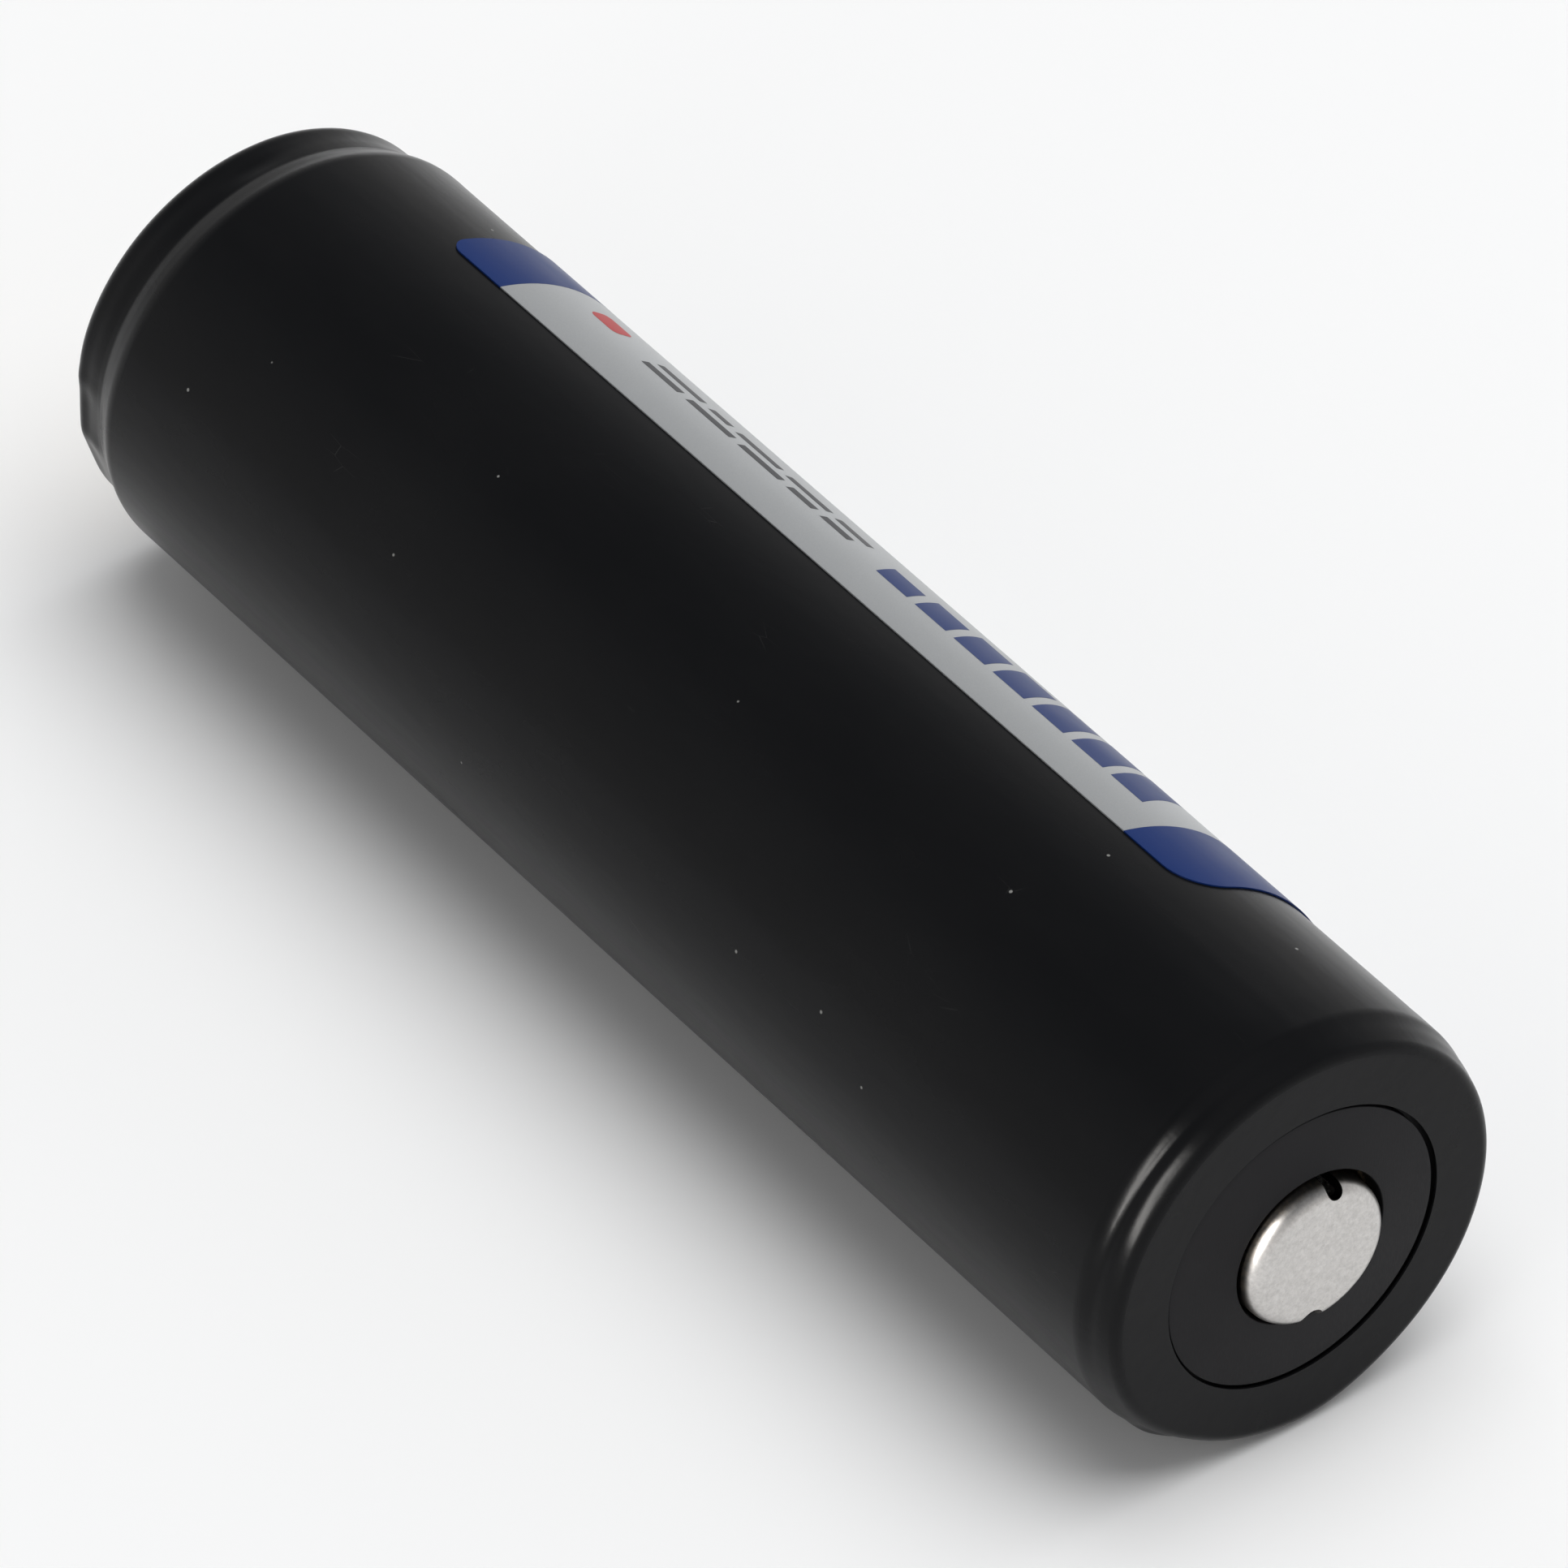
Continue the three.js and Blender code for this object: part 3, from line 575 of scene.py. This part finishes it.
# Small folds left where the film gathered: (x, angle, size along x, size round, height).
SLEEVE_FOLDS = [
    (NEGATIVE_X + 0.9, -89, 1.2, 11, -0.24),
    (NEGATIVE_X + 0.9, -109, 1.2, 8, -0.14),
    (NEGATIVE_X + 0.9, -82, 0.8, 3, 0.07),
    (NEGATIVE_X + 1.1, -100, 0.8, 3, 0.07),
    (NEGATIVE_X + 1.7, -4, 0.4, 7, -0.05),
    (NEGATIVE_X + 2.5, 50, 0.7, 12, 0.12),
    (POSITIVE_X - 1.10, -50, 0.20, 34, -0.075),
    (POSITIVE_X - 0.15, -50, 0.34, 34, -0.10),
    (POSITIVE_X - 0.4, 173, 0.6, 16, 0.24),
    (POSITIVE_X - 0.4, 215, 0.6, 14, -0.14),
    (POSITIVE_X - 5.5, 4.5, 4.5, 1.8, 0.014),
]
STRIP_BULGE = 0.15
STRIP_BULGE_HALF_WIDTH = 1.6
STRIP_BULGE_FOOT = 3.0


def sleeve_spacing(x):
    """Short steps where the film folds at the ends, long ones over the can."""
    from_end = min(x - NEGATIVE_X, POSITIVE_X - x)
    return 0.15 if from_end < 4 else 0.8


def ripple(x, r, angle):
    """Slow unevenness of a shrunk film, from -1 to 1, stretched along the cell."""
    out = np.empty_like(x)
    points = on_axis(x * 0.25, r, angle)
    for index in np.ndindex(x.shape):
        out[index] = noise.noise(Vector(points[index]) * 0.45)
    return out


def gather(x, angle):
    """Fine folds that run round the cell, from -1 to 1."""
    out = np.empty_like(x)
    for index in np.ndindex(x.shape):
        turn = angle[index]
        place = Vector((x[index] * 1.6, 1.5 * math.sin(turn), 1.5 * math.cos(turn)))
        out[index] = noise.noise(place)
    return out


def sleeve_shape(x, r, angle):
    """The turned outline with its ripples, gathered ends, folds and the bulge over the strip."""
    from_end = np.minimum(x - NEGATIVE_X, POSITIVE_X - x)
    near_end = 1 - smoothstep(1.5, 6.0, from_end)
    outside = smoothstep(8.0, 8.6, r)
    change = RIPPLE_HEIGHT * ripple(x, r, angle)
    change += GATHER_HEIGHT * near_end * gather(x, angle) * outside
    for fold_x, degrees, size_x, size_round, height in SLEEVE_FOLDS:
        away = np.degrees(angle_from(angle, math.radians(degrees))) / size_round
        change += outside * height * np.exp(-(((x - fold_x) / size_x) ** 2) - away**2)
    across = np.abs(angle_from(angle, STRIP_ANGLE)) * CELL_RADIUS
    over_strip = 1 - smoothstep(STRIP_BULGE_HALF_WIDTH, STRIP_BULGE_FOOT, across)
    along_strip = smoothstep(1.9, 2.5, x - NEGATIVE_X) * smoothstep(0.9, 1.5, POSITIVE_X - x)
    r = np.minimum(r + change, RADIUS_LIMIT)
    return x, r + STRIP_BULGE * over_strip * along_strip


def build_sleeve():
    outer = divided(rounded(SLEEVE_CORNERS, 10), sleeve_spacing)
    inner = offset(outer, -FILM)[::-1]
    piece = revolve("sleeve_skin", np.vstack([outer, inner]), SLEEVE_SEGMENTS, sleeve_shape)
    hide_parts("shrink_sleeve")
    dress(piece, "sleeve_film")


# ------------------------------------------------------------------ the sticker and its print


def sticker_angle(distance):
    """The angle at a distance round the sticker from its first long edge."""
    return STICKER_START_ANGLE + distance / STICKER_FACE


STICKER_HEIGHT = (STICKER_END_ANGLE - STICKER_START_ANGLE) * STICKER_FACE


def corner_inset(distance, corner, height):
    """How far a rounded corner draws the end back, at a distance from the first long edge."""
    from_edge = np.minimum(distance, height - distance)
    short = np.clip(corner - from_edge, 0, corner)
    return corner - np.sqrt(corner**2 - short**2)


def rounded_rows(height, corner, rows):
    """Distances across a sheet, packed closely where its corners are round."""
    bend = corner * (1 - np.cos(np.linspace(0, math.pi / 2, 12)))
    middle = np.linspace(corner, height - corner, rows)
    return np.concatenate([bend, middle[1:-1], (height - bend)[::-1]])


def sheet_grid(x_range, start_corner, end_corner, columns, overlap=0.0):
    """A grid over the sticker's full height, with a corner radius at each end of x_range."""
    height = STICKER_HEIGHT + 2 * overlap
    distance = rounded_rows(height, max(start_corner, end_corner), 48)
    start = x_range[0] + corner_inset(distance, start_corner, height)
    end = x_range[1] - corner_inset(distance, end_corner, height)
    share = np.linspace(0, 1, columns)
    x = start[:, None] + (end - start)[:, None] * share
    angle = sticker_angle(distance - overlap)[:, None] + 0 * x
    return x, angle


def build_sticker():
    ends = (LABEL_LOW.x, LABEL_HIGH.x)
    x, angle = sheet_grid(ends, STICKER_CORNER_NEGATIVE, STICKER_CORNER_POSITIVE, 90)
    piece = make_piece("sticker", *shell(x, angle, STICKER_FACE, STICKER_BACK))
    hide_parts("label")
    dress(piece, "label_film")


def build_bands():
    """Blue ends, printed over the sticker's edge so that none of its silver shows round them."""
    low, high = LABEL_LOW.x - BAND_OVERLAP, LABEL_HIGH.x + BAND_OVERLAP
    negative = ((low, low + BAND_WIDTH_NEGATIVE), STICKER_CORNER_NEGATIVE, 0)
    positive = ((high - BAND_WIDTH_POSITIVE, high), 0, STICKER_CORNER_POSITIVE)
    ends = {"sticker_band_negative": negative, "sticker_band_positive": positive}
    for name, (x_range, start_corner, end_corner) in ends.items():
        x, angle = sheet_grid(x_range, start_corner, end_corner, 12, BAND_OVERLAP)
        piece = make_piece(name, *shell(x, angle, STICKER_FACE + INK, STICKER_BACK))
        dress(piece, "label_blue")


def ink_patch(x_range, across, slant=0.0, corner=0.0):
    """A printed patch from x_range and a range of distances across the sticker."""
    height = across[1] - across[0]
    distance = rounded_rows(height, corner, 6) if corner else np.linspace(0, height, 9)
    inset = corner_inset(distance, corner, height) if corner else 0 * distance
    share = np.linspace(0, 1, 7)
    start, end = x_range[0] + inset, x_range[1] - inset
    x = start[:, None] + (end - start)[:, None] * share + (slant * distance)[:, None]
    angle = sticker_angle(across[0] + distance)[:, None] + 0 * x
    return shell(x, angle, STICKER_FACE + INK, STICKER_FACE + INK / 4)


def build_print(name, slot, patches):
    piece = make_piece(name, *merged(patches))
    dress(piece, slot)


def charge_bars():
    """Slanted bars of growing height, in two mirrored groups round the sticker."""
    first_x = LABEL_LOW.x + 24.8
    step, width, slant = 2.45, 1.95, 0.28
    patches = []
    for k in range(7):
        x_range = (first_x + step * k, first_x + step * k + width)
        near, tall = 2.4, 1.5 + 0.45 * k
        far = STICKER_HEIGHT - near
        patches.append(ink_patch(x_range, (near, near + tall), -slant))
        patches.append(ink_patch(x_range, (far - tall, far), slant))
    return patches


def dash_rows():
    """Plain dashes in pairs of rows, where small print would be."""
    shape = np.random.default_rng(7)
    first_x, last_x = LABEL_LOW.x + 9.2, LABEL_LOW.x + 23.4
    thickness, gap, row_step = 0.45, 0.55, 0.95
    patches = []
    for pair in (2.8, 9.6, STICKER_HEIGHT - 4.3):
        for across in (pair, pair + row_step):
            x = first_x
            while x < last_x - gap:
                length = min(float(shape.uniform(1.2, 3.0)), last_x - x)
                patches.append(ink_patch((x, x + length), (across, across + thickness)))
                x += length + gap
    return patches


def polarity_marks():
    """A plus near the button and a minus near the contact."""
    middle = STICKER_HEIGHT / 2
    plus_x, minus_x = LABEL_HIGH.x - 7.0, LABEL_LOW.x + 6.2
    arm, half = 1.3, 0.28
    return [
        ink_patch((plus_x - arm, plus_x + arm), (middle - half, middle + half)),
        ink_patch((plus_x - half, plus_x + half), (middle + half, middle + arm)),
        ink_patch((plus_x - half, plus_x + half), (middle - arm, middle - half)),
        ink_patch((minus_x - arm, minus_x + arm), (middle - half, middle + half)),
    ]


def build_prints():
    build_print("print_charge_bars", "label_blue", charge_bars())
    build_print("print_dash_rows", "label_grey_ink", dash_rows())
    build_print("print_polarity_marks", "label_grey_ink", polarity_marks())
    red_x = LABEL_LOW.x + 5.3
    patch = ink_patch((red_x, red_x + 1.7), (3.2, 4.4), corner=0.35)
    build_print("print_red_patch", "label_red_ink", [patch])


# ------------------------------------------------------------------ the positive end


def washer_shape(x, r, angle):
    """The hole lies a little to one side of the axis and the raised rim a little to the other."""
    radii = (WASHER_HOLE_RADIUS, WASHER_RIM_RADIUS)
    along_y = np.interp(r, radii, (WASHER_HOLE_ASIDE[0], WASHER_RIM_ASIDE[0]))
    along_z = np.interp(r, radii, (WASHER_HOLE_ASIDE[1], WASHER_RIM_ASIDE[1]))
    return x, r + along_y * np.sin(angle) + along_z * np.cos(angle)


def build_washer():
    """A fibre washer held under the sleeve's lip, its raised middle filling the lip's hole."""
    under = WASHER_LOW.x
    corners = [
        (under, WASHER_HOLE_RADIUS, 0),
        (under, WASHER_LEDGE_RADIUS, 0.05),
        (WASHER_LEDGE_X, WASHER_LEDGE_RADIUS, 0.05),
        (WASHER_LEDGE_X, WASHER_RIM_RADIUS, 0.05),
        (WASHER_RIM_X, WASHER_RIM_RADIUS, 0.04),
        (WASHER_HOLE_X, WASHER_HOLE_RADIUS, 0.05),
        (under, WASHER_HOLE_RADIUS, 0),
    ]
    outline = divided(rounded(corners)[:-1], lambda x: 0.25)
    piece = revolve("washer_disc", outline, 160, washer_shape)
    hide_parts("insulator_washer")
    dress(piece, "washer_fibre")


def button_outline():
    """The pressed cup: its inside, the flange under the washer, and a wall with a broad edge."""
    flange_top = BUTTON_LOW.x + BUTTON_FLANGE_THICKNESS
    top = BUTTON_HIGH.x
    corners = [
        (top - BUTTON_WALL, 0, 0),
        (top - BUTTON_WALL, BUTTON_RADIUS - BUTTON_WALL, 0.3),
        (BUTTON_LOW.x, BUTTON_RADIUS - BUTTON_WALL, 0.2),
        (BUTTON_LOW.x, BUTTON_FLANGE_RADIUS, 0.05),
        (flange_top, BUTTON_FLANGE_RADIUS, 0.05),
        (flange_top, BUTTON_RADIUS + 0.05, 0.15),
        (top, BUTTON_RADIUS, BUTTON_EDGE),
        (top - BUTTON_CROWN, 0, 0),
    ]
    return rounded(corners, 12)


def vent_cutter(degrees, width, depth, length):
    """A bar along X with a round bottom and straight sides, that opens the wall to a depth."""
    low, high = BUTTON_HIGH.x - length, BUTTON_HIGH.x + 0.2
    bpy.ops.mesh.primitive_cylinder_add(
        vertices=32, radius=width / 2 * MM, depth=(high - low) * MM
    )
    cutter = bpy.context.object
    cutter.data.transform(Matrix.Rotation(math.pi / 2, 4, "Y"))
    for corner in cutter.data.vertices:
        if corner.co.z > 0.01 * MM:
            corner.co.z += depth * MM
    bottom = BUTTON_RADIUS - depth + width / 2
    outward = Matrix.Translation(Vector(((low + high) / 2, 0, bottom)) * MM)
    turn = Matrix.Rotation(-math.radians(degrees), 4, "X")
    cutter.data.transform(turn @ outward)
    return cutter


def build_button():
    """The nickel button, cut by its slot and notch and set a little off the axis."""
    piece = revolve("button_cap", button_outline(), 160)
    for cutter in (vent_cutter(**BUTTON_SLOT), vent_cutter(**BUTTON_NOTCH)):
        cut = piece.modifiers.new("vent", "BOOLEAN")
        cut.operation = "DIFFERENCE"
        cut.object = cutter
        bpy.context.view_layer.objects.active = piece
        bpy.ops.object.modifier_apply(modifier=cut.name)
        bpy.data.objects.remove(cutter)
    piece.data.transform(Matrix.Translation(Vector((0, *BUTTON_ASIDE)) * MM))
    smoothed(piece.data, 30)
    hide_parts("positive_button")
    dress(piece, "nickel")


# ------------------------------------------------------------------ the negative end


def build_contact():
    """A flat gold-plated disc with a rounded edge and a faint ring pressed near its rim."""
    low, high, radius = CONTACT_LOW.x, CONTACT_HIGH.x, CONTACT_HIGH.z
    corners = [
        (low, 0, 0),
        (low, radius - 1.3, 0.3),
        (low + 0.05, radius - 1.15, 0.1),
        (low + 0.05, radius - 0.95, 0.1),
        (low, radius - 0.8, 0.3),
        (low, radius, 0.12),
        (high, radius, 0.05),
        (high, 0, 0),
    ]
    piece = revolve("contact_disc", rounded(corners, 6), 160)
    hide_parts("negative_contact")
    dress(piece, "contact_gold")


# ------------------------------------------------------------------ stage, light and camera


def build_floor():
    """A plain pale floor under the cell."""
    half_side = 2.0
    level = -CELL_RADIUS * MM
    mesh = bpy.data.meshes.new("floor")
    signs = ((-1, -1), (1, -1), (1, 1), (-1, 1))
    mesh.from_pydata([(i * half_side, j * half_side, level) for i, j in signs], [], [(0, 1, 2, 3)])
    floor = bpy.data.objects.new("floor", mesh)
    bpy.context.scene.collection.objects.link(floor)
    finish = Finish("floor_paint", Roughness=0.9)
    cloud = finish.noise((0.01, 0.01, 0.01))
    finish.colour(finish.mix(cloud, (0.94, 0.94, 0.94), (0.97, 0.97, 0.97)))
    floor.data.materials.append(finish.material)


# The studio's light by height: level with the cell, overhead, and at heights between.
STUDIO_HORIZON = (0.75, 0.74, 0.73)
STUDIO_OVERHEAD = (0.09, 0.095, 0.10)
STUDIO_BETWEEN = [
    (0.45, (0.52, 0.52, 0.52)),
    (0.60, (0.37, 0.375, 0.385)),
    (0.76, (0.11, 0.115, 0.12)),
]


def build_world():
    """A studio that is white low down and grows darker overhead."""
    world = bpy.data.worlds.new("studio")
    world.use_nodes = True
    nodes, links = world.node_tree.nodes, world.node_tree.links
    place = nodes.new("ShaderNodeTexCoord").outputs["Generated"]
    split = nodes.new("ShaderNodeSeparateXYZ")
    ramp = nodes.new("ShaderNodeValToRGB")
    stops = ramp.color_ramp.elements
    stops[0].color = (*STUDIO_HORIZON, 1)
    stops[1].color = (*STUDIO_OVERHEAD, 1)
    for height, colour in STUDIO_BETWEEN:
        stops.new(height).color = (*colour, 1)
    links.new(place, split.inputs[0])
    links.new(split.outputs["Z"], ramp.inputs["Fac"])
    links.new(ramp.outputs["Color"], nodes["Background"].inputs["Color"])
    bpy.context.scene.world = world


def area_light(name, towards, distance, size, power, colour):
    """A soft rectangular light that stands in a direction from the cell and faces it."""
    data = bpy.data.lights.new(name, "AREA")
    data.shape = "RECTANGLE"
    data.size, data.size_y = size
    data.energy = power
    data.color = colour
    light = bpy.data.objects.new(name, data)
    direction = Vector(towards).normalized()
    middle = Vector(((NEGATIVE_X + POSITIVE_X) / 2 * MM, 0, 0))
    light.location = middle + direction * distance
    light.rotation_euler = direction.to_track_quat("Z", "Y").to_euler()
    bpy.context.scene.collection.objects.link(light)
    return light


# The lights, with metres for distance and size, and watts for power.
KEY_LIGHT = {
    "towards": (0.30, -0.85, 0.43),
    "distance": 0.9,
    "size": (0.18, 0.65),
    "power": 13.5,
    "colour": (1.0, 0.975, 0.945),
}
FILL_LIGHT = {
    "towards": (0.1, 0.15, 1.0),
    "distance": 1.2,
    "size": (1.2, 1.2),
    "power": 14.0,
    "colour": (1.0, 1.0, 1.0),
}


def build_lights():
    """A low key that shows only in reflections and an overhead fill that shows only on matt."""
    key = area_light("key", **KEY_LIGHT)
    key.visible_diffuse = False
    fill = area_light("fill", **FILL_LIGHT)
    fill.visible_glossy = False


def build_camera():
    data = bpy.data.cameras.new("camera")
    data.sensor_width = 36.0
    data.lens = CAMERA_LENS
    data.clip_start = 0.01
    data.clip_end = 10.0
    camera = bpy.data.objects.new("camera", data)
    flat = math.cos(CAMERA_ELEVATION)
    back = Vector((
        math.sin(CAMERA_AZIMUTH) * flat,
        -math.cos(CAMERA_AZIMUTH) * flat,
        math.sin(CAMERA_ELEVATION),
    ))
    camera.location = (CAMERA_AIM + back * CAMERA_DISTANCE) * MM
    camera.rotation_euler = back.to_track_quat("Z", "Y").to_euler()
    bpy.context.scene.collection.objects.link(camera)
    bpy.context.scene.camera = camera


# ------------------------------------------------------------------ the scene

build_camera()
dress_cad_nodes()
build_sleeve()
build_sticker()
build_bands()
build_prints()
build_washer()
build_button()
build_contact()
build_floor()
build_world()
build_lights()

bpy.context.scene.view_settings.view_transform = "Standard"
